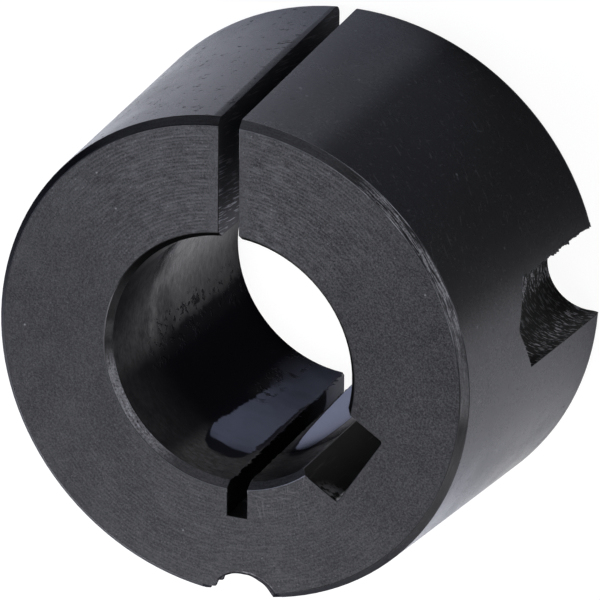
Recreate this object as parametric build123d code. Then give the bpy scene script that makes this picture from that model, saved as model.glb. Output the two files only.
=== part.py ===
"""Keyed taper bush for a pulley or sprocket hub, 38 mm size with an 18 mm bore.

One piece of turned cast iron. The bush stands on its large end, with the
origin at the centre of that face, +Z along the bore towards the small end
and +X through the middle of the keyway. Millimetres and degrees throughout.
"""

from build123d import *
import math
import os

# Blank: a truncated cone with four degrees of taper on each side.
LENGTH = 22.2
LARGE_DIAMETER = 38.3
TAPER_DEG = 4.0
RIM_RADIUS = 0.7
SMALL_END_CHAMFER = 0.5

# Shaft bore, with a chamfer at each mouth.
BORE_DIAMETER = 18.0
FRONT_MOUTH_WIDTH = 0.42
FRONT_MOUTH_DEPTH = 0.58
REAR_MOUTH_CHAMFER = 0.36

# Keyway for a 6 mm key, cut along the whole bore.
KEYWAY_WIDTH = 6.0
KEYWAY_FLOOR = 11.8
KEYWAY_CORNER = 0.25

# Two cuts of one saw: the slit lets the bush close on its shaft, and the
# relief slot opposite it lets the ring hinge. The saw ran a little askew, so
# towards the large end both cuts drift to the same side.
SAW_WIDTH = 1.5
SAW_SKEW_DEG = 1.5
SLIT_DEG = 123.0
RELIEF_DEG = SLIT_DEG + 180
RELIEF_OFFSET = 0.74
RELIEF_FLOOR = 11.45

# Half-round screw holes, cut parallel to the bore on one pitch circle.
PITCH_RADIUS = 18.4
SCREW_HOLE_RADIUS = 3.32
SCREW_HOLE_DEPTH = 11.7
DRILL_POINT_DEG = 118.0
SCREW_HOLE_ANGLES = (40.0, 220.0)
JACKING_THREAD_RADIUS = 3.175
JACKING_DEG = -53.8

# Cutters run this far past the faces that they open.
OVERCUT = 2.0


def outer_radius(height):
    """Radius of the taper at a height above the large end."""
    return LARGE_DIAMETER / 2 - height * math.tan(math.radians(TAPER_DEG))


def blank():
    """Tapered ring: its half section turned about the bore axis."""
    bore = BORE_DIAMETER / 2
    shoulder = LENGTH - SMALL_END_CHAMFER
    outline = Polyline(
        (bore + REAR_MOUTH_CHAMFER, 0, 0),
        (outer_radius(0), 0, 0),
        (outer_radius(shoulder), 0, shoulder),
        (outer_radius(shoulder) - SMALL_END_CHAMFER, 0, LENGTH),
        (bore + FRONT_MOUTH_WIDTH, 0, LENGTH),
        (bore, 0, LENGTH - FRONT_MOUTH_DEPTH),
        (bore, 0, REAR_MOUTH_CHAMFER),
        close=True,
    )
    ring = revolve(make_face(outline), axis=Axis.Z)
    rim = ring.edges().filter_by(GeomType.CIRCLE).group_by(Axis.Z)[0].sort_by(SortBy.RADIUS)[-1]
    return fillet(rim, RIM_RADIUS)


def keyway():
    """Key slot on +X, from inside the bore to its flat floor."""
    slot = Box(
        KEYWAY_FLOOR,
        KEYWAY_WIDTH,
        LENGTH + 2 * OVERCUT,
        align=(Align.MIN, Align.CENTER, Align.MIN),
    )
    corners = slot.edges().filter_by(Axis.Z).group_by(Axis.X)[-1]
    return Pos(0, 0, -OVERCUT) * fillet(corners, KEYWAY_CORNER)


def saw_cut(reach, angle, offset, skew):
    """Kerf from the axis out to a reach, hung from the small end and swung by the skew."""
    blade = Box(
        reach,
        SAW_WIDTH,
        LENGTH + 4 * OVERCUT,
        align=(Align.MIN, Align.CENTER, Align.MIN),
    )
    hung = Rot(180, 0, 0) * Pos(0, 0, -2 * OVERCUT) * blade
    return Rot(0, 0, angle) * Pos(0, offset, LENGTH) * Rot(skew, 0, 0) * hung


def screw_hole(angle):
    """Blind half hole from the large end, with the drill's point at its end."""
    shank = Cylinder(
        SCREW_HOLE_RADIUS,
        SCREW_HOLE_DEPTH + OVERCUT,
        align=(Align.CENTER, Align.CENTER, Align.MIN),
    )
    point_height = SCREW_HOLE_RADIUS / math.tan(math.radians(DRILL_POINT_DEG / 2))
    point = Cone(
        SCREW_HOLE_RADIUS,
        0,
        point_height,
        align=(Align.CENTER, Align.CENTER, Align.MIN),
    )
    drill = Pos(0, 0, -OVERCUT) * shank + Pos(0, 0, SCREW_HOLE_DEPTH) * point
    return Rot(0, 0, angle) * Pos(PITCH_RADIUS, 0, 0) * drill


def jacking_hole():
    """Half hole right through, at the major radius of its quarter inch thread."""
    tap = Cylinder(
        JACKING_THREAD_RADIUS,
        LENGTH + 2 * OVERCUT,
        align=(Align.CENTER, Align.CENTER, Align.MIN),
    )
    return Rot(0, 0, JACKING_DEG) * Pos(PITCH_RADIUS, 0, -OVERCUT) * tap


def taper_bush():
    """The blank with its keyway, saw cuts and half holes."""
    bush = blank() - keyway()
    bush -= saw_cut(LARGE_DIAMETER, SLIT_DEG, 0, SAW_SKEW_DEG)
    bush -= saw_cut(RELIEF_FLOOR, RELIEF_DEG, RELIEF_OFFSET, -SAW_SKEW_DEG)
    for angle in SCREW_HOLE_ANGLES:
        bush -= screw_hole(angle)
    return bush - jacking_hole()


os.makedirs("parts", exist_ok=True)
export_step(taper_bush(), "parts/taper_bush.step")
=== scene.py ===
import math

import bmesh
import bpy
import numpy as np
from mathutils import Matrix, Vector


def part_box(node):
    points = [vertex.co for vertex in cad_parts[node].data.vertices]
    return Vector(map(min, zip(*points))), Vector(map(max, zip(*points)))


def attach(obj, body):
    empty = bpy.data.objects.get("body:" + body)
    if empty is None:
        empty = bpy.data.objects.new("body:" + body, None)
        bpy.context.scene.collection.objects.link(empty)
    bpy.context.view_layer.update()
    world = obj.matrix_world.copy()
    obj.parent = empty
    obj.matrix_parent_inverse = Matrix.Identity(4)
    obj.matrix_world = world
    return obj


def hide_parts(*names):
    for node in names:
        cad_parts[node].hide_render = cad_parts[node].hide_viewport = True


# %% [markdown]
# ## The bush and its frame
# A taper bush is a turned ring of blackened iron. It stands on its large end, its bore
# runs up +Z and its keyway faces +X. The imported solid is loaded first, and every size
# that follows is read from its box or worked out from the sizes of this kind of bush.

# %% Load the frame
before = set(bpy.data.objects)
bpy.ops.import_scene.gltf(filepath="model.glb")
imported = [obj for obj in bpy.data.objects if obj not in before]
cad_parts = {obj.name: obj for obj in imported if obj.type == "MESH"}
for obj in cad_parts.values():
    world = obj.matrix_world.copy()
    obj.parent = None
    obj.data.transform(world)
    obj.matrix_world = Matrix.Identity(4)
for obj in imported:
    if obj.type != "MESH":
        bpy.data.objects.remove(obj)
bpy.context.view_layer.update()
scene = bpy.context.scene
scene.view_settings.view_transform = "Standard"

MM = 0.001
high_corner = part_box("taper_bush")[1]
LENGTH = high_corner.z
print("bush length in mm:", round(LENGTH / MM, 2))

# %% [markdown]
# ## Sizes that the finish depends on
# Every face was cut by its own tool, so where a face lies decides its finish. These
# sizes tell one face from another.

# %% Name the sizes
LARGE_RADIUS = 19.15 * MM
TAPER = math.tan(math.radians(4.0))
SMALL_END_CHAMFER = 0.5 * MM
RIM_RADIUS = 0.7 * MM
BORE_RADIUS = 9.0 * MM
FRONT_MOUTH_LEAN = math.atan2(0.42, 0.58)
REAR_MOUTH_LEAN = math.radians(45.0)
KEYWAY_HALF_WIDTH = 3.0 * MM
KEYWAY_FLOOR = 11.8 * MM
SAW_HALF_WIDTH = 0.75 * MM
SAW_SKEW = math.tan(math.radians(1.5))
SLIT_ANGLE = math.radians(123.0)
RELIEF_ANGLE = math.radians(303.0)
RELIEF_OFFSET = 0.74 * MM
RELIEF_FLOOR = 11.45 * MM
PITCH_RADIUS = 18.4 * MM
SCREW_HOLE_RADIUS = 3.32 * MM
SCREW_HOLE_DEPTH = 11.7 * MM
SCREW_HOLE_ANGLES = (math.radians(40.0), math.radians(220.0))
JACKING_ANGLE = math.radians(-53.8)
THREAD_MAJOR_RADIUS = 3.175 * MM
THREAD_PITCH = 1.27 * MM


def outer_radius(height):
    """Radius of the outside: the taper's straight line, cut by the 45 degree chamfer of
    the small end and by the quarter round of the large end's rim."""
    taper = LARGE_RADIUS - TAPER * height
    shoulder = LENGTH - SMALL_END_CHAMFER
    chamfer = LARGE_RADIUS - TAPER * shoulder - (height - shoulder)
    below = np.clip(RIM_RADIUS - height, 0, RIM_RADIUS)
    rounding = RIM_RADIUS - np.sqrt(RIM_RADIUS**2 - below**2)
    return np.minimum(taper, chamfer) - rounding


# %% [markdown]
# ## A short way to write shader nodes
# A value given to an input is either a plain number or the socket of an earlier node,
# which is then linked.


# %% The node helper
class Graph:
    """Adds nodes to a tree, by their kinds without the usual "ShaderNode" in front, and
    links or sets their inputs in the same call."""

    def __init__(self, tree):
        self.tree = tree

    def add(self, kind, inputs=(), **settings):
        node = self.tree.nodes.new("ShaderNode" + kind)
        for name, value in settings.items():
            setattr(node, name, value)
        for key, value in dict(inputs).items():
            if isinstance(value, bpy.types.NodeSocket):
                self.tree.links.new(value, node.inputs[key])
            else:
                node.inputs[key].default_value = value
        return node

    def math(self, operation, a, b=0.0, c=0.0):
        return self.add("Math", {0: a, 1: b, 2: c}, operation=operation).outputs[0]

    def vector_math(self, operation, a, b):
        return self.add("VectorMath", {0: a, 1: b}, operation=operation).outputs

    def combined(self, x, y, z=0.0):
        return self.add("CombineXYZ", {0: x, 1: y, 2: z}).outputs[0]

    def times(self, value, *factors):
        for factor in factors:
            value = self.math("MULTIPLY", value, factor)
        return value

    def minus(self, a, b):
        return self.math("SUBTRACT", a, b)

    def most(self, a, b):
        return self.math("MAXIMUM", a, b)

    def least(self, a, b):
        return self.math("MINIMUM", a, b)

    def line(self, value, slope, start):
        """Slope times the value, plus the start."""
        return self.math("MULTIPLY_ADD", value, slope, start)

    def length(self, x, y):
        """Distance from an axis: the root of x squared plus y squared."""
        return self.math("SQRT", self.math("ADD", self.times(x, x), self.times(y, y)))

    def ramp(self, value, low, high, low_value=0.0, high_value=1.0):
        """Smooth step of a value from one level to another."""
        inputs = {0: value, 1: low, 2: high, 3: low_value, 4: high_value}
        return self.add("MapRange", inputs, interpolation_type="SMOOTHSTEP").outputs[0]

    def band(self, value, low, low_full, high_full, high):
        """One between the two full levels, with a smooth step to nought on each side."""
        return self.times(self.ramp(value, low, low_full), self.ramp(value, high, high_full))

    def noise(self, vector, scale, detail=2.0, roughness=0.5):
        inputs = {"Vector": vector, "Scale": scale, "Detail": detail, "Roughness": roughness}
        return self.add("TexNoise", inputs).outputs[0]


def new_group(name, output, numbers, vectors=()):
    """Node group with named inputs and one number as its output."""
    tree = bpy.data.node_groups.new(name, "ShaderNodeTree")
    kinds = dict.fromkeys(numbers, "NodeSocketFloat") | dict.fromkeys(vectors, "NodeSocketVector")
    for socket, kind in kinds.items():
        tree.interface.new_socket(socket, in_out="INPUT", socket_type=kind)
    tree.interface.new_socket(output, in_out="OUTPUT", socket_type="NodeSocketFloat")
    entry = tree.nodes.new("NodeGroupInput").outputs
    g = Graph(tree)
    return g, entry, g.add("TexCoord").outputs["Object"]


def ended(g, result):
    """Links a group's result to its output and returns the group."""
    g.tree.links.new(result, g.tree.nodes.new("NodeGroupOutput").inputs[0])
    return g.tree


# %% [markdown]
# ## Turning marks
# A lathe tool leaves fine rings round its axis. On an end face they follow each other
# from the bore outwards, and in the bore or on the taper they follow each other along
# the axis. Real rings are broken into short dashes, because the iron tears a little. A
# noise does this well when its grid is bent: two of its coordinates are the direction
# round the axis, which has no seam, and the third runs across the rings.


# %% The turning marks group
def turning_marks():
    """Noise at (run x/r, run y/r, across), where across = r times its density
    plus z times its density."""
    numbers = ("Run", "Across Radius", "Across Height", "Centre X", "Centre Y", "Detail")
    g, entry, place = new_group("turning marks", "Marks", numbers)
    split = g.add("SeparateXYZ", {0: place}).outputs
    x, y = g.minus(split[0], entry["Centre X"]), g.minus(split[1], entry["Centre Y"])
    radius = g.length(x, y)
    run = g.math("DIVIDE", entry["Run"], radius)
    across = g.times(split[2], entry["Across Height"])
    across = g.line(radius, entry["Across Radius"], across)
    bent = g.combined(g.times(x, run), g.times(y, run), across)
    return ended(g, g.noise(bent, 1.0, entry["Detail"], 0.6))


TURNING_MARKS = turning_marks()


# %% [markdown]
# ## Specks and hairlines
# Blackened iron that has been handled carries small pale specks and fine scratches.
# A speck is a cell of a Voronoi pattern that is kept only if its random colour is high.
# A hairline is noise squeezed a lot in two directions and little in the third, cut off
# near its top so that only a few thin strokes stay.


# %% The speck and hairline groups
SPECK_CORE = 0.4
WAVER_SCALE = 220.0
WAVER_REACH = 1.6 * MM
STROKE_EDGE = 0.06


def specks():
    """One near the centre of a few random cells, nought elsewhere."""
    g, entry, place = new_group("specks", "Mask", ("Density", "Size", "Rarity"))
    cell = g.add("TexVoronoi", {"Vector": place, "Scale": entry["Density"]}).outputs
    chance = g.add("SeparateColor", {0: cell["Color"]}).outputs[0]
    kept = g.math("GREATER_THAN", chance, entry["Rarity"])
    dot = g.ramp(cell["Distance"], entry["Size"], g.times(entry["Size"], SPECK_CORE))
    return ended(g, g.times(dot, kept))


def hairlines():
    """Thin wavering strokes along one turned direction: the top of a stretched noise."""
    g, entry, place = new_group("hairlines", "Mask", ("Length", "Fineness", "Rarity"), ("Turn",))
    waver = {"Vector": place, "Scale": WAVER_SCALE, "Detail": 1.0}
    waver = g.add("TexNoise", waver).outputs["Color"]
    waver = g.add("VectorMath", {0: waver, "Scale": WAVER_REACH}, operation="SCALE")
    turn = {"Vector": g.vector_math("ADD", place, waver.outputs[0])[0], "Rotation": entry["Turn"]}
    turned = g.add("VectorRotate", turn, rotation_type="EULER_XYZ").outputs[0]
    stretch = g.combined(entry["Length"], entry["Fineness"], entry["Fineness"])
    stroke = g.noise(g.vector_math("MULTIPLY", turned, stretch)[0], 1.0, 1.0, 0.4)
    top = g.math("ADD", entry["Rarity"], STROKE_EDGE)
    return ended(g, g.ramp(stroke, entry["Rarity"], top))


SPECKS = specks()
HAIRLINES = hairlines()


# %% [markdown]
# ## One way to make every finish
# Black oxide on iron has no colour of its own to speak of: what is seen is a weak mirror. So each finish is
# metallic with a very dark base, which sets how strongly it mirrors head on, while the glancing light at
# the edges comes by itself. The base, the roughness and the bump are driven by the marks that the tool
# left, and the base also by painted light. The specular tint sets how bright and how blue the glancing
# light is. Many tones also change with the angle round the axis: most of that is painted reflection and
# shade, set to the light that each side catches, and some of it is wear.


# %% The finish helper
DARKEST_TONE = 0.0005


class Finish(Graph):
    """A material whose base tone, roughness and height are built up from patterns."""

    def __init__(self, name, tint=(1.0, 1.0, 1.08), glance=(1.0, 1.0, 1.0)):
        self.material = bpy.data.materials.new(name)
        self.material.use_nodes = True
        super().__init__(self.material.node_tree)
        self.shader = self.tree.nodes["Principled BSDF"]
        self.shader.inputs["Metallic"].default_value = 1.0
        self.shader.inputs["Specular Tint"].default_value = (*glance, 1.0)
        self.tint = tint
        # An optional painted reflection: a mask and a colour added to the base.
        self.painted_reflection = None
        self.place = self.add("TexCoord").outputs["Object"]
        self.x, self.y, self.z = self.add("SeparateXYZ", {0: self.place}).outputs
        self.radius = self.length(self.x, self.y)
        self.angle = self.math("ARCTAN2", self.y, self.x)
        self.degrees = self.times(self.angle, 180 / math.pi)
        self.turned = self.math("FLOORED_MODULO", self.degrees, 360.0)

    def group(self, tree, inputs):
        return self.add("Group", inputs, node_tree=tree).outputs[0]

    def marks(self, detail=2, **inputs):
        """Turning marks, from inputs named as in across_height=4200."""
        named = {key.replace("_", " ").title(): value for key, value in inputs.items()}
        return self.group(TURNING_MARKS, {"Detail": detail, **named})

    def specks(self, density, size, rarity):
        return self.group(SPECKS, {"Density": density, "Size": size, "Rarity": rarity})

    def hairlines(self, turn, length, fineness, rarity):
        inputs = {"Turn": turn, "Length": length, "Fineness": fineness, "Rarity": rarity}
        return self.group(HAIRLINES, inputs)

    def grain(self, scale, roughness=0.6, detail=2.0):
        return self.noise(self.place, scale, detail, roughness)

    def total(self, level, *terms):
        """Sum of a first level, of sockets, and of sockets times numbers, such as
        (socket, 0.5)."""
        for term in terms:
            if isinstance(term, tuple):
                level = self.line(*term, level)
            else:
                level = self.math("ADD", level, term)
        return level

    def sway(self, pattern, strength):
        """Pattern that swings either way of nought, as a term for a total."""
        return (self.minus(pattern, 0.5), strength)

    def around(self, centre, width, softness, angle=None):
        """One within a width of a centre angle, both in degrees, falling off softly."""
        apart = self.minus(angle or self.angle, math.radians(centre))
        inner = math.cos(math.radians(max(width - softness, 0)))
        outer = math.cos(math.radians(width + softness))
        return self.ramp(self.math("COSINE", apart), outer, inner)

    def near(self, point, reach, core):
        """One within the core distance of a point, falling to nought at the reach."""
        away = self.vector_math("DISTANCE", self.place, point)["Value"]
        return self.ramp(away, reach, core)

    def beside_slit(self):
        """Signed distance from the slit's middle plane at the small end."""
        return self.line(self.x, -math.sin(SLIT_ANGLE), self.times(self.y, math.cos(SLIT_ANGLE)))

    def done(self, tone, roughness, height, depth):
        """Links the tone times the tint, plus the painted reflection if there is one, the roughness, and
        the height, which is in units of the depth."""
        tone = self.most(tone, DARKEST_TONE)
        parts = [self.times(tone, channel) for channel in self.tint]
        if self.painted_reflection:
            mask, painted_reflection = self.painted_reflection
            parts = [self.line(mask, channel, part) for part, channel in zip(parts, painted_reflection)]
        colour = self.add("CombineColor", dict(enumerate(parts))).outputs[0]
        self.tree.links.new(colour, self.shader.inputs["Base Color"])
        if isinstance(roughness, float):
            self.shader.inputs["Roughness"].default_value = roughness
        else:
            self.tree.links.new(roughness, self.shader.inputs["Roughness"])
        bump = self.add("Bump", {"Height": height, "Distance": depth, "Strength": 1.0})
        self.tree.links.new(bump.outputs[0], self.shader.inputs["Normal"])
        return self.material


# %% [markdown]
# ## The faced ends
# Both flat ends were faced on the lathe, a quarter of a millimetre a turn. The rings lie over an even grain
# that the blackening bath leaves. Their contrast is painted stronger on each side of the slit and by the
# relief slot, and thins out elsewhere: a painted sheen where the rings catch the light. Beside the slit a
# file has wiped the rings away, and the small end has a nest of hairlines between the keyway and the relief
# slot.


# %% Faced end finish
FEED_PER_TURN = 0.25 * MM
HAIR_NEST = (8.0 * MM, -5.0 * MM, LENGTH)
HAIR = (800, 7500, 0.63)


def faced_end():
    f = Finish("faced_end")
    marks, grain, cloud = f.marks(run=13, across_radius=4800), f.grain(8500, 0.75), f.grain(330)

    # Rings: a wave for each turn of the tool, put out of step by the marks. Their
    # valleys are shallower than their crests are high.
    turn = f.line(f.radius, 2 * math.pi / FEED_PER_TURN, f.times(marks, 9))
    ring = f.total(0.0, (f.math("SINE", turn), 0.09), f.sway(marks, 0.9))
    ring = f.most(ring, f.line(ring, 0.45, -0.02))
    wiped = f.ramp(f.math("ABSOLUTE", f.beside_slit()), 1.9 * MM, 1.2 * MM)
    wiped = f.times(wiped, f.around(123, 30, 5))
    # Painted sheen: the rings' contrast and the tone rise on each side of the slit and by the relief slot.
    ring_sheen = f.total(0.14, (f.around(124, 32, 30), 0.78), (f.around(-60, 42, 24), 0.26))
    ring_sheen = f.times(ring_sheen, f.line(wiped, -0.7, 1))
    ring = f.times(ring, ring_sheen)

    # Painted sheen: the tone rises a little along one line through the axis, as turned rings mirror more
    # along it than across it.
    bow_sheen = f.math("COSINE", f.line(f.angle, 2, math.radians(-256)))
    specks = f.specks(1600, 0.17, 0.966)
    flecks = f.times(f.specks(5200, 0.36, 0.8), f.line(ring_sheen, 0.022, 0.013))
    coarse = f.times(f.minus(grain, 0.5), f.line(f.around(70, 70, 50), 0.025, 0.065))
    hairs = f.most(f.hairlines((0, 0, 0.9), *HAIR), f.hairlines((0, 0, 2.6), *HAIR))
    hairs = f.times(hairs, f.near(HAIR_NEST, 4.5 * MM, 1.5 * MM))
    tone = f.total(
        0.0355, (bow_sheen, 0.0036), (ring, 0.1), coarse, (ring_sheen, 0.006), f.sway(cloud, 0.016),
        (specks, 0.08), flecks, (hairs, 0.022), (wiped, 0.008),
    )
    height = f.total(0.0, (ring, 0.9), (grain, 0.45))
    return f.done(tone, f.total(0.36, f.sway(grain, 0.2)), height, 0.003 * MM)


# %% [markdown]
# ## The taper
# The outside was turned and then handled. It is smoother than the ends and nearly black. Round the slit and
# between the keyway and the screw half hole its tone is painted paler, and beyond the slit painted darker:
# painted reflection and shade by the angle round the axis. Small dark tears run round it, with a few pale
# specks and hairlines. A file has eased one lip of the slit, so the face slopes down to it over the last
# half millimetre.


# %% Taper finish
FILED_WIDTH_LOW = 1.15
FILED_WIDTH_HIGH = 1.42
FILED_SLOPE = -450.0


def filed_lip(f):
    """Square of the distance, in mm, past the line where the file began: nought on the
    other side of the slit. The slit leans, so its middle shifts with the height."""
    beside = f.line(f.minus(LENGTH, f.z), -SAW_SKEW, f.beside_slit())
    start = f.ramp(f.z, 3.0 * MM, 9.0 * MM, FILED_WIDTH_LOW, FILED_WIDTH_HIGH)
    past = f.most(f.minus(start, f.times(beside, 1 / MM)), 0)
    past = f.times(past, f.math("GREATER_THAN", beside, 0))
    return f.times(past, past)


def turned_taper():
    f = Finish("turned_taper", (1.0, 1.0, 1.06), (0.8, 0.8, 0.83))
    marks, grain, cloud = f.marks(run=16, across_height=5000), f.grain(5200, 0.7), f.grain(210)
    specks = f.specks(1250, 0.2, 0.955)
    hairs = f.hairlines((1.3, 0.2, 2.0), 900, 6500, 0.69)
    hairs = f.most(hairs, f.hairlines((0.2, 0.5, 0.35), 700, 6000, 0.68))
    tears = f.ramp(f.marks(run=24, across_height=2100, detail=2.5), 0.625, 0.69)
    tears = f.times(tears, f.line(f.around(165, 43, 4), 0.75, 0.25))

    # The tone round the bush: painted reflection and shade, by the angle round the axis and by the height.
    by_hole, at_hole = f.band(f.degrees, 1, 13, 42, 55), f.around(38, 14, 10)
    to_slit, past_slit = f.ramp(f.degrees, 98, 107), f.ramp(f.degrees, 110, 132)
    beyond, hidden = f.ramp(f.degrees, 138, 156), f.band(f.turned, 190, 215, 335, 350)
    low = f.times(f.band(f.degrees, 98, 110, 148, 170), f.ramp(f.z, 15 * MM, 1 * MM))
    level = f.total(
        0.0068, (by_hole, 0.052), (to_slit, 0.025), (past_slit, 0.026), (beyond, -0.053),
        (hidden, 0.006), (low, 0.014), (at_hole, 0.01),
    )
    patchy = f.total(1.0, f.sway(cloud, 0.5), f.sway(grain, 1.1), (tears, -0.6))
    tone = f.total(f.times(level, patchy), (specks, 0.045), (hairs, 0.018))
    roughness = f.total(0.26, f.sway(cloud, 0.22), (tears, 0.2), f.sway(grain, 0.14))
    height = f.total(0.0, (marks, 0.5), (tears, -2), (grain, 0.55), (filed_lip(f), FILED_SLOPE))
    return f.done(tone, roughness, height, 0.004 * MM)


# %% [markdown]
# ## The chamfers
# The small end's chamfer is as dark as the ends. On the side where the bush has slid against other parts
# its rings are rubbed bright, and so is a short stretch of the bore's mouth: wear, made brighter with
# painted reflection. The tone round each also changes with the angle as painted reflection and shade.


# %% Chamfer finishes
def turned_chamfer():
    f = Finish("turned_chamfer", (1.0, 1.0, 1.08), (0.55, 0.55, 0.57))
    marks, grain = f.marks(run=15, across_radius=15000, detail=2.5), f.grain(6500, 0.7)
    nicks = f.specks(420, 0.22, 0.93)
    # Rubbed rings: wear, made brighter with painted reflection.
    wear_and_sheen = f.band(f.degrees, 36, 62, 82, 94)
    streaks = f.times(f.ramp(marks, 0.42, 0.62), f.ramp(grain, 0.35, 0.6, 0.55, 1.25), wear_and_sheen)
    sparkle = f.times(f.specks(2900, 0.34, 0.78), wear_and_sheen)

    # The tone round the bush: painted reflection and shade, by the angle round the axis.
    by_key, by_hole, beyond = f.around(15, 13, 10), f.around(46, 12, 8), f.around(174, 26, 12)
    by_slit, past_slit = f.band(f.degrees, 84, 100, 122, 126), f.band(f.degrees, 122, 126, 150, 165)
    hidden = f.band(f.turned, 188, 212, 315, 345)
    level = f.total(
        0.03, (beyond, -0.028), (by_key, -0.0225), (hidden, -0.0145), (by_slit, 0.085),
        (past_slit, 0.016), (by_hole, 0.07),
    )
    level = f.times(level, f.total(1.0, f.sway(grain, 1), f.sway(marks, 1)))
    tone = f.total(level, (streaks, 0.4), (wear_and_sheen, 0.03), (sparkle, 0.25), (nicks, 0.12))
    roughness = f.total(0.36, (wear_and_sheen, 0.06), f.sway(grain, 0.15))
    return f.done(tone, roughness, f.total(0.0, (marks, 0.7), (grain, 0.4)), 0.005 * MM)


def bore_mouth():
    f = Finish("bore_mouth")
    marks, grain = f.marks(run=8, across_height=8000, across_radius=5000), f.grain(6500, 0.7)
    # Tone round the mouth: painted reflection by angle; the streaks are rubbed wear, made brighter with
    # painted reflection.
    by_slot, by_key, left = f.around(-96, 42, 9), f.around(-30, 24, 6), f.around(-147, 6, 5)
    level = f.total(0.006, (by_slot, 0.17), (by_key, 0.085), (left, 0.02))
    level = f.times(level, f.total(1.0, f.sway(grain, 1.4), f.sway(marks, 0.8)))
    streaks = f.total(0.36, f.sway(marks, 1), f.sway(grain, 1.2))
    tone = f.total(level, f.times(f.around(-113, 18, 13), streaks))
    height = f.total(0.0, (marks, 0.6), (grain, 0.5))
    return f.done(tone, f.total(0.38, f.sway(grain, 0.2)), height, 0.004 * MM)


# %% [markdown]
# ## The bore
# The bore is the smoothest face. Painted reflections lie on it in two stretches, laid in as if a shaft had
# burnished it there. The one beside the keyway is a glassy blue painted reflection, with a crisp outline.
# The one on the far side is a soft pale painted reflection, streaked by the boring marks. Between them it
# is deep black, and the first few millimetres behind the mouth are dull, with a painted grey reflection.
# Each part below is a mask with limits in degrees round the axis and in millimetres up from the large end.


# %% The painted reflections of the bore
def below(f, limit, low, high):
    """One well below a limit height: a step over the height that is left."""
    return f.ramp(f.minus(limit, f.up), low, high)


def left_reflection(f):
    """Painted glassy reflection left of the relief slot: torn limits left, right and in front."""
    torn = f.total(0.0, f.sway(f.rings, 2.5), f.sway(f.broad, 4))
    rising = f.most(f.minus(f.up, 8), 0)
    past_left = f.total(80.6, f.degrees, torn, (rising, 0.58))
    soft, slack = f.ramp(f.up, 7.5, 3), f.ramp(f.up, 7.5, 5)
    before_slot = f.total(-60.7, (f.degrees, -1), (torn, 0.9), (slack, 5))
    patch = f.ramp(past_left, f.line(soft, -8, -0.6), f.line(soft, 14, 0.6))
    corner = f.most(f.minus(-81.0, f.degrees), 0)
    front = f.total(16.95, f.sway(f.broad, 0.8), (f.times(corner, corner), -0.12))
    return f.times(patch, f.ramp(before_slot, -0.3, 0.5), below(f, front, -0.12, 0.2))


def right_arch(f):
    """Height of the round tip that ends the painted reflection between the slot and the keyway."""
    from_tip = f.math("ADD", f.degrees, 39.4)
    aside = f.most(f.times(from_tip, -1.26), from_tip)
    return f.total(15.6, f.sway(f.broad, 1), (f.math("POWER", aside, 3), -0.0045))


def lenses(f, right_side, arch):
    """Dark glossy lens in front of each painted reflection, with a faint painted blue of its own, which the
    dullness leaves out.
    """
    aside = f.math("ABSOLUTE", f.math("ADD", f.degrees, 72))
    top = f.total(18.45, f.sway(f.broad, 1.2), (f.math("POWER", aside, 4), -8.3e-5))
    left = f.times(below(f, top, -0.1, 0.25), f.ramp(f.up, 15, 16.5))
    return f.most(left, f.times(right_side, below(f, arch, -1.5, -1.1)))


def far_side(f):
    """Far side's painted reflection: bright at its left, fading round the bore, with a soft front limit.
    Returns its mask, its limit round the bore and the fading."""
    fading = f.math("POWER", 0.935, f.minus(f.turned, 190))
    limit = f.total(f.turned, f.sway(f.broad, 9), f.sway(f.rings, 5))
    leftward = f.minus(212.0, f.most(f.least(f.turned, 212), 191))
    end = f.total(13.0, (leftward, 0.078), f.sway(f.broad, 2), f.sway(f.rings, 1.5))
    mask = f.times(f.least(fading, 1.15), f.ramp(limit, 232, 227), below(f, end, -2, 2.4))
    return mask, limit, fading


# %% The worn parts of the bore, and its painted grey behind the mouth
def pitting(f):
    """Where small pits lie, behind the mouth on the far side and low on the left
    patch's edge, and the pits themselves."""
    far = f.times(f.around(-131, 8, 5), f.ramp(f.up, 18, 15))
    edge = f.times(f.around(-80.5, 4.5, 3), f.ramp(f.up, 10, 8))
    pitted = f.most(far, edge)
    return pitted, f.times(f.ramp(f.grain(1500, 0.65, 2.5), 0.55, 0.62), pitted)


def dullness(f, limit, fading, right_side, scratched):
    """Grey tone behind the mouth, a painted reflection on a dull face with scratches, stronger on the far
    side and towards the keyway.
    """
    deeper = f.most(f.minus(21.0, f.up), 0)
    far = f.total(0.06, (f.times(deeper, f.least(fading, 1)), 0.042))
    far = f.times(far, f.ramp(f.up, 12.5, 15.5), f.ramp(limit, 237, 221))
    by_key = f.times(f.ramp(f.degrees, -90, -80), f.ramp(f.up, 15, 17))
    mouth = f.ramp(f.up, 14, 22)
    dull = f.total(far, (mouth, 0.018), (by_key, 0.04), (right_side, 0.028), (scratched, 0.2))
    uneven = f.total(
        1.0, f.sway(f.rings, 1.9), f.sway(f.cloud, 1.1), f.sway(f.broad, 0.7), f.sway(f.fine, 1.2)
    )
    return f.times(dull, uneven)


# %% Bore finish
# Blue of the painted reflection in the bore's glassy patches.
REFLECTION_BLUE = (0.083, 0.092, 0.135)


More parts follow.
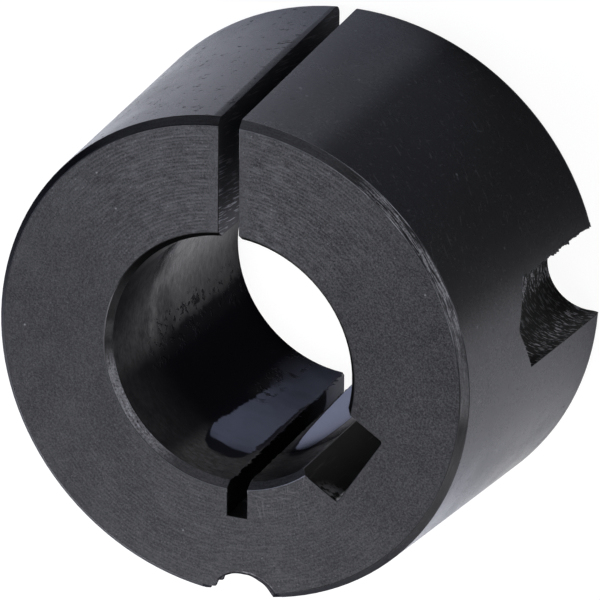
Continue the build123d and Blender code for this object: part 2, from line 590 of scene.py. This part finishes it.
def bored_wall():
    f = Finish("bored_wall", (1.02, 1.0, 1.0), (0.57, 0.57, 0.6))
    f.up = f.times(f.z, 1 / MM)
    f.rings, f.broad = f.marks(run=14, across_height=4200), f.marks(run=5, across_height=1100, detail=2.5)
    f.cloud, f.fine = f.grain(700), f.grain(3800, 0.65)
    right_side = f.band(f.degrees, -54, -53, 10, 20)
    left, arch = left_reflection(f), right_arch(f)
    right, lens = f.times(right_side, below(f, arch, -0.15, 0.25)), lenses(f, right_side, arch)
    far, limit, fading = far_side(f)
    pitted, pits = pitting(f)
    scratched = f.times(f.ramp(f.degrees, -42, -22), f.ramp(f.up, 21, 15))
    scored = f.times(f.band(f.degrees, -26, -20.5, -10, -5), f.ramp(f.fine, 0.5, 0.62), f.ramp(f.up, 9, 14))

    # The far side is a pale painted reflection; the glassy patches beside the relief slot are a blue
    # painted reflection.
    far_reflection = f.total(0.53, f.sway(f.rings, 0.7), f.sway(f.broad, 0.3), f.sway(f.fine, 0.35))
    far_reflection = f.times(f.total(far_reflection, (f.ramp(f.up, 4, 13), 0.1)), f.line(pits, -0.85, 1))
    glass_reflection = f.total(f.ramp(f.up, 5, 13, 0.44, 0.86), f.sway(f.cloud, 0.35))
    glass_reflection = f.times(glass_reflection, f.line(pits, -0.8, 1), left)
    f.painted_reflection = (f.total(glass_reflection, (right, 2.85), (lens, 0.04)), REFLECTION_BLUE)
    # The dullness is left out where painted reflections lie.
    painted_patches = f.times(lens, f.ramp(f.degrees, -90, -84))
    painted_patches = f.most(painted_patches, f.math("ADD", left, right))
    dull = f.times(dullness(f, limit, fading, right_side, scratched), f.minus(1.0, painted_patches))
    tone = f.total(0.0006, f.times(far, far_reflection), dull, (right, 0.03), (pitted, 0.004), (scored, 0.3))
    rough, soft = f.ramp(f.up, 15, 17), f.least(far, 1)
    roughness = f.total(0.16, (rough, 0.2), (soft, 0.14), (scratched, 0.1))

    # By the keyway the wall leans as if the bore widened towards the small end.
    leaning = f.times(f.math("GREATER_THAN", f.degrees, -54), f.math("LESS_THAN", f.degrees, 60), f.up)
    rings = f.times(f.rings, f.total(0.1, rough, (soft, 0.8)))
    height = f.total(0.0, (rings, 0.8), (f.broad, 0.3), (leaning, -33), (pits, -9))
    return f.done(tone, roughness, height, 0.003 * MM)


# %% [markdown]
# ## Cut faces that stay black
# The keyway was broached, so its marks run along the bore, and one corner of its floor carries a painted
# glint at the small end. The saw leaves long slanting strokes, with a painted sheen near the bore, and the
# relief slot's wall carries painted light near the large end. Drill and tap leave rings round their own
# axes, which lie on the pitch circle, so the turning marks are centred there.


# %% Keyway and saw cut finishes
KEYWAY_CORNER = (KEYWAY_FLOOR, -KEYWAY_HALF_WIDTH, LENGTH)


def keyway_wall():
    f = Finish("keyway_wall")
    squeezed = f.vector_math("MULTIPLY", f.place, (6500, 6500, 260))[0]
    strokes = f.noise(squeezed, 1, 2, 0.6)
    # Painted glint on the corner of the floor at the small end.
    painted_glint = f.times(f.near(KEYWAY_CORNER, 2.2 * MM, 0.5 * MM), f.ramp(f.grain(2200), 0.4, 0.56))
    tone = f.total(0.0012, (f.ramp(strokes, 0.6, 0.75), 0.02), (painted_glint, 0.42))
    return f.done(tone, 0.4, strokes, 0.006 * MM)


def sawn_wall():
    """Both saw cuts: the slit lies where y is above nought, the relief slot below."""
    f = Finish("sawn_wall", (1.0, 1.01, 1.12), (0.66, 0.66, 0.68))
    slant = f.times(f.line(f.z, -0.12, f.radius), 6200)
    strokes = f.noise(f.combined(slant, f.times(f.z, 330)), 1, 2.5, 0.7)
    clusters = f.grain(420, 0.5, 1)
    near_bore = f.ramp(f.radius, 17 * MM, 10 * MM, 0.3, 1)
    # Painted sheen on the real saw strokes, strongest near the bore and in the slit.
    stroke_sheen = f.times(f.ramp(strokes, 0.53, 0.6), near_bore, f.ramp(clusters, 0.35, 0.6))
    stroke_sheen = f.times(stroke_sheen, f.ramp(f.y, 0, 2 * MM, 0.1, 1))
    ragged = f.line(clusters, 6 * MM, f.z)
    # Painted light on the relief slot's wall near the large end, as if lit through the cut's open end.
    rear_light = f.times(f.ramp(ragged, 6.9 * MM, 6.2 * MM), f.ramp(f.y, -2 * MM, -4 * MM))
    tone = f.total(f.ramp(f.y, 0, 2 * MM, 0.03, 0.11), (stroke_sheen, 0.6), (rear_light, 0.55))
    return f.done(tone, 0.4, strokes, 0.012 * MM)


# %% Half hole and broken edge finishes
POINT_HEIGHT = 1.6 * MM


def hole_wall(name, hole_angle, base, strokes, depth, glance, painted_point_shine=None):
    """Drilled or tapped wall. A drilled one has painted light along its deepest line and on one side, and a
    painted shine on the cone that the drill's point left."""
    f = Finish(name, glance=glance)
    x, y = PITCH_RADIUS * math.cos(hole_angle), PITCH_RADIUS * math.sin(hole_angle)
    marks, grain = f.marks(run=6, across_height=6500, centre_x=x, centre_y=y), f.grain(5000, 0.7)
    tone = f.total(base, (f.ramp(marks, 0.52, 0.66), strokes), f.sway(grain, 0.008))
    if painted_point_shine:
        angle = f.math("ARCTAN2", f.minus(f.y, y), f.minus(f.x, x))
        deepest = f.around(math.degrees(hole_angle) + 180, 11, 9, angle)
        side = f.around(math.degrees(hole_angle) - 90, 28, 12, angle)
        # Painted light along the deepest line and on one side of the hole.
        painted_light = f.total(0.75, (f.times(deepest, f.ramp(grain, 0.35, 0.65)), 8), (side, 3.4))
        point = f.ramp(f.z, SCREW_HOLE_DEPTH, SCREW_HOLE_DEPTH + POINT_HEIGHT)
        point = f.times(point, f.math("ADD", grain, 0.2))
        tone = f.total(f.times(tone, painted_light), (point, painted_point_shine))
    return f.done(tone, 0.4, f.total(marks, (grain, 0.4)), depth * MM)


def worn_edge():
    """The broken edges: pale outside where the chamfer is, and at the mouth: rubbed wear, made brighter by
    angle with painted highlight.
    """
    f = Finish("worn_edge")
    outside = f.math("GREATER_THAN", f.radius, 15 * MM)
    wear_and_sheen = f.times(f.band(f.degrees, 36, 62, 80, 104), outside)
    by_slit = f.times(f.band(f.degrees, 84, 98, 122, 126), outside)
    by_key = f.times(f.around(15, 35, 15), outside)
    at_mouth = f.times(f.math("LESS_THAN", f.radius, 9.7 * MM), f.ramp(f.y, 0, -3 * MM))
    patches = f.times(f.ramp(f.grain(420), 0.45, 0.7), wear_and_sheen)
    tone = f.total(
        0.01, (patches, 0.16), (wear_and_sheen, 0.05), (at_mouth, 0.06), (by_key, 0.013), (by_slit, 0.06)
    )
    return f.done(tone, 0.45, f.grain(4000, 0.5, 1), 0.002 * MM)


# %% Make the finishes
# The holes: angle, base tone, strokes' tone and depth in mm, glancing light, and the painted shine of the
# drill's point.
HOLES = {
    "screw_hole_wall": (SCREW_HOLE_ANGLES[0], 0.003, 0.12, 0.008, (1.0, 1.0, 1.0), 0.4),
    "far_hole_wall": (SCREW_HOLE_ANGLES[1], 0.004, 0.035, 0.003, (0.5, 0.5, 0.52), 0.2),
    "threaded_wall": (JACKING_ANGLE, 0.016, 0.02, 0.002, (0.4, 0.4, 0.42)),
}
MAKERS = (faced_end, turned_taper, turned_chamfer, bored_wall, bore_mouth, keyway_wall, sawn_wall)
FINISHES = {
    **{make.__name__: make() for make in MAKERS},
    **{name: hole_wall(name, *hole) for name, hole in HOLES.items()},
    "worn_edge": worn_edge(),
}
NAMES = list(FINISHES)
print("finishes:", ", ".join(NAMES))

# %% [markdown]
# ## The body
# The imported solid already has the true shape, so its mesh is copied rather than drawn
# again. The copy's loose triangles are joined, flat neighbours become one face, and each
# face gets the finish of the tool that cut it. A narrow bevel then breaks every sharp
# edge. The facets of a turned face would show as creases in its reflections, so the
# normals are set from its axis.


# %% Copy the solid and sort its faces
MERGE_DISTANCE = 1e-7
FLAT_ANGLE = math.radians(0.4)
NEAR = 0.1 * MM
# Each saw cut: its angle round the bush, its offset, its reach and its lean.
SAW_CUTS = (
    (SLIT_ANGLE, 0.0, LARGE_RADIUS, SAW_SKEW),
    (RELIEF_ANGLE, RELIEF_OFFSET, RELIEF_FLOOR, -SAW_SKEW),
)
HOLE_RADII = (SCREW_HOLE_RADIUS, SCREW_HOLE_RADIUS, THREAD_MAJOR_RADIUS)
HALF_HOLES = [(name, HOLES[name][0], radius) for name, radius in zip(HOLES, HOLE_RADII)]


def added(name, data):
    """New object in the scene, from a mesh, a lamp or a camera."""
    piece = bpy.data.objects.new(name, data)
    scene.collection.objects.link(piece)
    return piece


def merged_copy(source, name):
    """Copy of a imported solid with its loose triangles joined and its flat
    neighbours made one face."""
    mesh = source.data.copy()
    mesh.name = name
    shell = bmesh.new()
    shell.from_mesh(mesh)
    bmesh.ops.remove_doubles(shell, verts=shell.verts, dist=MERGE_DISTANCE)
    bmesh.ops.dissolve_limit(shell, angle_limit=FLAT_ANGLE, verts=shell.verts, edges=shell.edges)
    shell.to_mesh(mesh)
    shell.free()
    return added(name, mesh)


def read_all(rows, name, width=1, kind=np.float32):
    """One attribute of every face, corner or point, as an array."""
    values = np.empty(len(rows) * width, kind)
    rows.foreach_get(name, values)
    return values.reshape(-1, width) if width > 1 else values


def from_hole(x, y, angle):
    """Distance from the axis of the half hole at an angle."""
    return np.hypot(x - PITCH_RADIUS * math.cos(angle), y - PITCH_RADIUS * math.sin(angle))


def face_finish(mesh):
    """Number of each face's finish, from where its centre lies and where it faces."""
    centre, normal = read_all(mesh.polygons, "center", 3), read_all(mesh.polygons, "normal", 3)
    x, y, z = centre.T
    radius = np.hypot(x, y)
    outward = (normal[:, 0] * x + normal[:, 1] * y) / np.maximum(radius, 1e-9)
    upright = np.abs(normal[:, 2])
    index = np.full(len(centre), NAMES.index("turned_taper"))

    def put(name, mask):
        index[mask] = NAMES.index(name)

    put("turned_chamfer", (normal[:, 2] > 0.5) & (radius > BORE_RADIUS * 1.6))
    put("bored_wall", (outward < -0.97) & (radius < BORE_RADIUS + NEAR))
    put("bore_mouth", (upright > 0.3) & (radius < BORE_RADIUS + 5 * NEAR))
    put("faced_end", upright > 0.98)
    by_key = (x > BORE_RADIUS * 0.8) & (x < KEYWAY_FLOOR + NEAR)
    put("keyway_wall", by_key & (np.abs(y) < KEYWAY_HALF_WIDTH + NEAR) & (upright < 0.1))
    for angle, offset, reach, lean in SAW_CUTS:
        aside = y * math.cos(angle) - x * math.sin(angle) - offset - lean * (LENGTH - z)
        along = x * math.cos(angle) + y * math.sin(angle)
        side = np.abs(normal[:, 1] * math.cos(angle) - normal[:, 0] * math.sin(angle)) > 0.9
        floor = (outward < -0.9) & (radius > BORE_RADIUS + 5 * NEAR)
        inside = (np.abs(aside) < SAW_HALF_WIDTH + NEAR) & (along > 0) & (along < reach + NEAR)
        put("sawn_wall", inside & (side | floor) & (upright < 0.2))
    for name, angle, hole_radius in HALF_HOLES:
        within = (z < SCREW_HOLE_DEPTH + NEAR) | (name == "threaded_wall")
        wall = (outward < 0.93) | (radius < LARGE_RADIUS * 0.9)
        wall &= (from_hole(x, y, angle) < hole_radius + NEAR / 5) & (upright < 0.98)
        put(name, within & wall)
    return index


EDGE_BREAK = 0.045 * MM
EDGE_ANGLE = math.radians(38)

body = merged_copy(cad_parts["taper_bush"], "bush_body")
body.data.materials.clear()
for name in NAMES:
    body.data.materials.append(FINISHES[name])
finish_index = face_finish(body.data)
body.data.polygons.foreach_set("material_index", finish_index)
body.data.polygons.foreach_set("use_smooth", np.ones(len(finish_index), bool))
counts = np.bincount(finish_index, minlength=len(NAMES)).tolist()
print("faces by finish:", dict(zip(NAMES, counts)))


# %% Break the edges and set the true normals
def broken_edges(piece):
    """Bevels every sharp edge and keeps the result as the piece's own mesh."""
    bevel = piece.modifiers.new("edge break", "BEVEL")
    bevel.width = EDGE_BREAK
    bevel.segments = 2
    bevel.limit_method = "ANGLE"
    bevel.angle_limit = EDGE_ANGLE
    bevel.use_clamp_overlap = False
    bevel.material = NAMES.index("worn_edge")
    ready = piece.evaluated_get(bpy.context.evaluated_depsgraph_get())
    mesh = bpy.data.meshes.new_from_object(ready)
    piece.modifiers.clear()
    piece.data = mesh


def true_normals(mesh):
    """Each point's normal: on the taper, the bore and the holes it is worked out from
    the axis, elsewhere it is the mean of the main faces that meet there, by area. The
    bore's mouths get the normal of their cone at each corner."""
    finish = read_all(mesh.polygons, "material_index", kind=np.int32)
    size = read_all(mesh.polygons, "loop_total", kind=np.int32)
    start = read_all(mesh.loops, "vertex_index", kind=np.int32)
    normal, area = read_all(mesh.polygons, "normal", 3), read_all(mesh.polygons, "area")
    x, y, z = read_all(mesh.vertices, "co", 3).T
    owner = np.repeat(np.arange(len(finish)), size)
    main = finish[owner] != NAMES.index("worn_edge")
    pull = normal[owner] * area[owner, None] * np.where(main, 1.0, 1e-6)[:, None]
    total = np.zeros((len(x), 3))
    np.add.at(total, start, pull)

    def on(name):
        touched = np.zeros(len(x), bool)
        touched[start[finish[owner] == NAMES.index(name)]] = True
        return touched

    def radial(centre_angle, reach, sign):
        across, up = x - reach * math.cos(centre_angle), y - reach * math.sin(centre_angle)
        away = np.maximum(np.hypot(across, up), 1e-9)
        return np.stack([sign * across / away, sign * up / away, np.zeros(len(x))], -1)

    outward = radial(0.0, 0.0, 1.0)
    taper = on("turned_taper") & (z > RIM_RADIUS * 1.05)
    total[taper] = (outward + [0.0, 0.0, TAPER])[taper]
    total[on("bored_wall")] = -outward[on("bored_wall")]
    for name, angle, hole_radius in HALF_HOLES:
        wall = on(name) & (from_hole(x, y, angle) > hole_radius * 0.99) & ~taper
        wall &= (z < SCREW_HOLE_DEPTH - NEAR) | (name == "threaded_wall")
        total[wall] = radial(angle, PITCH_RADIUS, -1.0)[wall]
    total /= np.maximum(np.linalg.norm(total, axis=1), 1e-12)[:, None]
    corner = total[start]
    mouth = finish[owner] == NAMES.index("bore_mouth")
    front = mouth & (z[start] > LENGTH / 2)
    for part, lean in ((front, FRONT_MOUTH_LEAN), (mouth & ~front, -REAR_MOUTH_LEAN)):
        corner[part] = -outward[start[part]] * math.cos(lean) + [0.0, 0.0, math.sin(lean)]
    mesh.normals_split_custom_set(corner.tolist())


broken_edges(body)
true_normals(body.data)
print("body faces after the edge break:", len(body.data.polygons))
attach(body, "root")
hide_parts("taper_bush")

# %% [markdown]
# ## Surfaces on a grid
# The thread and the burrs are new pieces. Each is a skin over a grid of two parameters,
# with a back skin inside the iron, joined round the border into one closed shell.


# %% Closed shell from two grids
def shell_piece(name, front, back, finish, end_finish=None):
    """Closed mesh from two point grids of the same shape: the front, the back turned
    over, and a strip of faces along each of the four borders. The strips along the
    first and the last row may have a finish of their own."""
    rows, columns = front.shape[:2]
    count = rows * columns
    points = np.concatenate([front.reshape(-1, 3), back.reshape(-1, 3)])
    at = np.arange(count).reshape(rows, columns)
    quads = np.stack([at[:-1, :-1], at[1:, :-1], at[1:, 1:], at[:-1, 1:]], -1).reshape(-1, 4)
    rim = np.concatenate([at[0, :-1], at[:-1, -1], at[-1, :0:-1], at[:0:-1, 0]])
    after = np.roll(rim, -1)
    border = np.stack([rim, after, after + count, rim + count], -1)
    faces = np.concatenate([quads, quads[:, ::-1] + count, border])
    mesh = bpy.data.meshes.new(name)
    mesh.from_pydata(points.tolist(), [], faces.tolist())
    skin = bmesh.new()
    skin.from_mesh(mesh)
    bmesh.ops.recalc_face_normals(skin, faces=skin.faces)
    skin.to_mesh(mesh)
    skin.free()
    mesh.polygons.foreach_set("use_smooth", np.arange(len(faces)) < 2 * len(quads))
    mesh.materials.append(FINISHES[finish])
    if end_finish:
        mesh.materials.append(FINISHES[end_finish])
        strip = np.arange(len(border))
        at_end = (strip % (columns + rows - 2)) < columns - 1
        index = np.concatenate([np.zeros(2 * len(quads), np.int32), at_end])
        mesh.polygons.foreach_set("material_index", index.astype(np.int32))
    piece = added(name, mesh)
    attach(piece, "root")
    print(name, "has", len(faces), "faces")


# %% [markdown]
# ## The jacking thread
# The half hole at the small end's lower side is tapped, so that a screw can push the bush
# out of its hub. The solid has the hole at the thread's outer radius. The ridges are a
# wall whose radius falls and rises once a pitch, later the further round it goes.


# %% Thread ridges in the half hole
THREAD_CREST_RADIUS = 2.55 * MM
THREAD_BACKING = 0.1 * MM
THREAD_START = 0.27
CREST_LEVEL = 1.45
FLANK_SLOPE = 3.6
FIRST_HALF_TURN = math.radians(95)
FITTING_ROUNDS = 4
TURN_STEPS = 56
STEPS_PER_PITCH = 14


def inside_bush(radius, height):
    """Half angle round the hole's axis, from the bush's axis, at which a circle of that
    radius meets the outside: the cosine rule in the triangle of the two axes."""
    limit = outer_radius(height) - 0.01 * MM
    cosine = (limit**2 - PITCH_RADIUS**2 - radius**2) / (2 * PITCH_RADIUS * radius)
    return math.pi - np.arccos(np.clip(cosine, -1, 1))


def jacking_thread():
    """Point at (round, height): radius = major - depth of a trapezoid wave of
    height/pitch - round/turn, placed about the hole's axis. Each ridge ends where its
    own radius meets the outside, so radius and angle are worked out by turns."""
    margin = 0.002 * MM
    levels = np.linspace(margin, LENGTH - margin, int((LENGTH / THREAD_PITCH) * STEPS_PER_PITCH))
    height, share = np.meshgrid(levels, np.linspace(-1, 1, TURN_STEPS), indexing="ij")
    angle = share * FIRST_HALF_TURN
    for _ in range(FITTING_ROUNDS):
        phase = (height / THREAD_PITCH - angle / (2 * math.pi) + THREAD_START) % 1.0
        wave = np.clip(CREST_LEVEL - FLANK_SLOPE * np.abs(phase - 0.5), 0, 1)
        radius = THREAD_MAJOR_RADIUS - (THREAD_MAJOR_RADIUS - THREAD_CREST_RADIUS) * wave
        angle = share * inside_bush(radius, height)
    back_radius = np.full_like(radius, THREAD_MAJOR_RADIUS + THREAD_BACKING)
    back_angle = share * inside_bush(back_radius, height)

    def placed(radius, angle):
        toward = JACKING_ANGLE + math.pi + angle
        x = PITCH_RADIUS * math.cos(JACKING_ANGLE) + radius * np.cos(toward)
        y = PITCH_RADIUS * math.sin(JACKING_ANGLE) + radius * np.sin(toward)
        return np.stack([x, y, height], -1)

    front, back = placed(radius, angle), placed(back_radius, back_angle)
    shell_piece("jacking_thread", front, back, "threaded_wall", "faced_end")


jacking_thread()

# %% [markdown]
# ## Burrs
# A saw or a drill that breaks out of cast iron leaves a torn lip. Each burr here is a
# thin flake along one edge, whose width jumps from tooth to tooth, and it lies in the
# face that was cut away.


# %% Ragged flakes along the lips
ROOT_WIDTH = 0.15 * MM
SKIN_LIFT = 0.004 * MM
FLAKE_COLUMNS = 4
STEPS_PER_TOOTH = 8


def teeth(length, tooth, seed):
    """Tooth widths from 0 to 1 along a lip: random steps of about one tooth, each with
    a slope at one side, blended with finer steps."""
    chance = np.random.default_rng(seed)
    along = np.linspace(0, length, int(length / tooth * STEPS_PER_TOOTH))
    steps = chance.random(int(length / tooth) + 2) ** 1.5
    place = along / tooth
    coarse = steps[place.astype(int)] * (1 - 0.6 * (place % 1))
    fine = chance.random(len(along)) * 0.25
    return along, np.clip(coarse + fine - 0.1, 0, 1)


def cylinder_point(radius, angle, height):
    """Point at an angle and a distance from the bush's axis."""
    return np.stack([radius * np.cos(angle), radius * np.sin(angle), height], -1)


def burr(name, path, start, end, reach, tooth, thick, seed, finish):
    """Flake between two heights: path(height, sideways) gives the front point, sideways
    running from inside the metal to the tooth's tip, and the radius shift of the back."""
    along, width = teeth(end - start, tooth, seed)
    height = start + along
    share = np.linspace(0, 1, FLAKE_COLUMNS)
    sideways = -ROOT_WIDTH + share[None, :] * (ROOT_WIDTH + reach * width[:, None])
    level = np.repeat(height[:, None], FLAKE_COLUMNS, axis=1)
    front = path(level, sideways, 0.0)
    back = path(level, sideways, thick * (1 - 0.8 * share[None, :] ** 2))
    shell_piece(name, front, back, finish)


def screw_hole_lip(hole_angle, side):
    """Path along a half hole's lip on the taper: the lip's angle from the triangle of
    the two axes, then round the bush by the sideways distance."""

    def path(height, sideways, depth):
        outside = outer_radius(height)
        squares = outside**2 + PITCH_RADIUS**2 - SCREW_HOLE_RADIUS**2
        lip = np.arccos(squares / (2 * outside * PITCH_RADIUS))
        angle = hole_angle + side * (lip - sideways / outside)
        return cylinder_point(outside - SKIN_LIFT - depth, angle, height)

    return path


def relief_lip(side):
    """Path along a lip of the relief slot in the bore: the kerf's edge, which drifts
    with height, found on the bore's circle."""

    def path(height, sideways, depth):
        aside = RELIEF_OFFSET - SAW_SKEW * (LENGTH - height) + side * (SAW_HALF_WIDTH - sideways)
        angle = RELIEF_ANGLE + np.arcsin(aside / BORE_RADIUS)
        return cylinder_point(BORE_RADIUS + SKIN_LIFT + depth, angle, height)

    return path


HOLE_LIP = screw_hole_lip(SCREW_HOLE_ANGLES[0], 1)
RELIEF_TOP = LENGTH / MM - 0.9
# Each burr: its path, its start, end, reach, tooth and thickness in mm, seed and finish.
BURRS = {
    "screw_hole_burr": (HOLE_LIP, (0.4, 11.2, 0.24, 0.42, 0.10), 5, "turned_taper"),
    "relief_left_burr": (relief_lip(-1), (0.6, RELIEF_TOP, 0.36, 0.26, 0.07), 11, "bored_wall"),
    "relief_right_burr": (relief_lip(1), (0.6, RELIEF_TOP, 0.14, 0.45, 0.07), 12, "bored_wall"),
}
for name, (path, lengths, seed, finish) in BURRS.items():
    burr(name, path, *(length * MM for length in lengths), seed, finish)

# %% [markdown]
# ## The camera
# A long lens looks down on the small end from the keyway's left, rolled so that the slit
# stands near the top of the view.


# %% Place the camera
CAMERA_AZIMUTH = math.radians(-168.002)
CAMERA_ELEVATION = math.radians(58.733)
CAMERA_ROLL = math.radians(-129.957)
CAMERA_DISTANCE = 355.6 * MM
CAMERA_AIM = Vector((0.0854, 0.9171, 11.1)) * MM
LENS_MM = 303.18


def studio_camera():
    """Camera on a sphere round its aim: forward from azimuth and elevation, then the
    level right-hand direction turned by the roll."""
    flat = math.cos(CAMERA_ELEVATION)
    east, north = math.sin(CAMERA_AZIMUTH), math.cos(CAMERA_AZIMUTH)
    forward = Vector((east * flat, north * flat, -math.sin(CAMERA_ELEVATION)))
    level = forward.cross(Vector((0, 0, 1))).normalized()
    right = level * math.cos(CAMERA_ROLL) + level.cross(forward) * math.sin(CAMERA_ROLL)
    data = bpy.data.cameras.new("studio_camera")
    data.lens = LENS_MM
    data.sensor_width = 36.0
    data.clip_start = 0.01
    camera = added("studio_camera", data)
    axes = Matrix((right, right.cross(forward), -forward)).transposed().to_4x4()
    camera.matrix_world = Matrix.Translation(CAMERA_AIM - forward * CAMERA_DISTANCE) @ axes
    scene.camera = camera
    return camera


print("camera at", tuple(round(v, 4) for v in studio_camera().matrix_world.translation))

# %% [markdown]
# ## Floor, sky and lamps
# The floor is pale and catches the bush's shadow. It is brightened to white only for
# the camera's own rays, and in part for reflected ones, and it is clear from below. The
# sky is a soft dome that is brightest above and towards -Y, and dim near the horizon, so
# that the chamfer stays black.


# %% Build the studio
FLOOR_HALF_SIZE = 1.5
FLOOR_TONE = 0.8
CAMERA_GLOW = 0.94
CAMERA_TONE = 0.1
FLOOR_HEIGHT = -0.05 * MM
REFLECTED_GLOW = 0.05
SKY_UP = (-0.10, -0.50, 0.86)
SKY_EDGE = 0.42
SKY_DIM, SKY_BRIGHT = 0.2, 1.22
SKY_COLOUR = (0.975, 0.985, 1.03, 1.0)
SPOT_HEIGHT = 0.6


def floor():
    mesh = bpy.data.meshes.new("floor")
    s, z = FLOOR_HALF_SIZE, FLOOR_HEIGHT
    mesh.from_pydata([(-s, -s, z), (s, -s, z), (s, s, z), (-s, s, z)], [], [(0, 1, 2, 3)])
    piece = added("floor", mesh)
    material = bpy.data.materials.new("pale_floor")
    material.use_nodes = True
    material.node_tree.nodes.clear()
    g = Graph(material.node_tree)
    path = g.add("LightPath").outputs
    seen = path["Is Camera Ray"]
    mirrored = g.most(path["Is Glossy Ray"], path["Is Transmission Ray"])
    glow = g.line(seen, CAMERA_GLOW, g.times(mirrored, REFLECTED_GLOW))
    light = g.add("Emission", {"Strength": glow}).outputs[0]
    tone = g.line(seen, CAMERA_TONE - FLOOR_TONE, FLOOR_TONE)
    colour = g.add("CombineColor", {0: tone, 1: tone, 2: tone}).outputs[0]
    matt = g.add("BsdfDiffuse", {"Color": colour}).outputs[0]
    both = g.add("AddShader", {0: light, 1: matt}).outputs[0]
    below = g.add("NewGeometry").outputs["Backfacing"]
    clear = g.add("BsdfTransparent").outputs[0]
    surface = g.add("MixShader", {0: below, 1: both, 2: clear}).outputs[0]
    g.add("OutputMaterial", {"Surface": surface})
    mesh.materials.append(material)


def sky():
    world = bpy.data.worlds.new("soft_sky")
    world.use_nodes = True
    world.node_tree.nodes.clear()
    scene.world = world
    g = Graph(world.node_tree)
    direction = g.add("TexCoord").outputs["Generated"]
    toward = g.vector_math("DOT_PRODUCT", direction, SKY_UP)["Value"]
    level = g.ramp(toward, SKY_EDGE, 1.0, SKY_DIM, SKY_BRIGHT)
    seen = g.add("LightPath").outputs["Is Camera Ray"]
    strength = g.add("Mix", {0: seen, 2: level, 3: 1.0}, data_type="FLOAT").outputs[0]
    back = g.add("Background", {"Color": SKY_COLOUR, "Strength": strength}).outputs[0]
    g.add("OutputWorld", {"Surface": back})


def lamp(name, place, size, power, colour):
    """Soft rectangular lamp that faces the bush."""
    data = bpy.data.lights.new(name, "AREA")
    data.shape = "RECTANGLE"
    data.size, data.size_y = size
    data.energy = power
    data.color = colour
    piece = added(name, data)
    piece.location = place
    piece.rotation_euler = Vector(place).to_track_quat("Z", "Y").to_euler()


def bore_spot():
    """Narrow spot from straight above that lights the floor under the bore."""
    data = bpy.data.lights.new("bore_spot", "SPOT")
    data.spot_size = 2 * math.atan(BORE_RADIUS * 0.97 / SPOT_HEIGHT)
    data.spot_blend = 0.1
    data.shadow_soft_size = 0.001
    data.energy = 7.0
    added("bore_spot", data).location = (0.0, 0.0, SPOT_HEIGHT)


floor()
sky()
lamp("key_lamp", (-0.04, -0.62, 0.27), (0.5, 0.2), 5.6, (1.0, 1.0, 1.0))
lamp("side_lamp", (0.55, -0.14, 0.15), (0.25, 0.2), 2.3, (1.0, 1.0, 1.0))
lamp("cool_lamp", (-0.45, -0.27, 0.33), (0.25, 0.25), 2.4, (0.82, 0.9, 1.2))
bore_spot()
